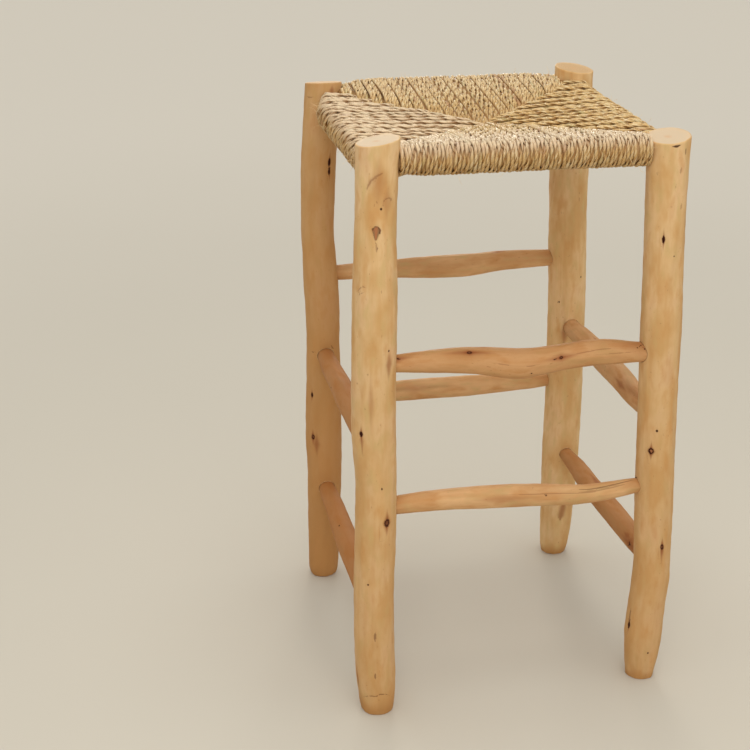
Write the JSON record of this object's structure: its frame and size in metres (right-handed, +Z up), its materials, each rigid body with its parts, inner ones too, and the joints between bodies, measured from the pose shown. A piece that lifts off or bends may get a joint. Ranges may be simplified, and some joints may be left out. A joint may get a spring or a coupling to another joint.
{
  "type": "bar stool",
  "caption": "Bar stool of peeled round-wood legs joined by staggered rungs in round mortises, with a square dished seat of palm cord wound over rails in mitred panels.",
  "frame": {"origin": "on the floor, at the middle of the stool's outline", "axes": "+X to the right along the front, +Y to the back, +Z up"},
  "size_m": [0.3976, 0.4055, 0.705],
  "materials": {
    "leg_wood": "peeled and drawknife-shaved pole, bare, satin",
    "rail_wood": "peeled pole, bare, mostly under the cord",
    "rung_wood": "peeled and shaved stick, bare, satin",
    "palm_cord": "two-ply twisted palm-leaf cord, matt with a slight straw sheen"
  },
  "bodies": {
    "root": {"leg_front_left": "leg_wood", "leg_front_right": "leg_wood", "leg_back_right": "leg_wood", "leg_back_left": "leg_wood", "seat_rail_front": "rail_wood", "seat_rail_right": "rail_wood", "seat_rail_back": "rail_wood", "seat_rail_left": "rail_wood", "rung_front_upper": "rung_wood", "rung_front_lower": "rung_wood", "rung_right_upper": "rung_wood", "rung_right_lower": "rung_wood", "rung_back_upper": "rung_wood", "rung_back_lower": "rung_wood", "rung_left_upper": "rung_wood", "rung_left_lower": "rung_wood", "weave_front": "palm_cord", "weave_right": "palm_cord", "weave_back": "palm_cord", "weave_left": "palm_cord"}
  },
  "joints": []
}
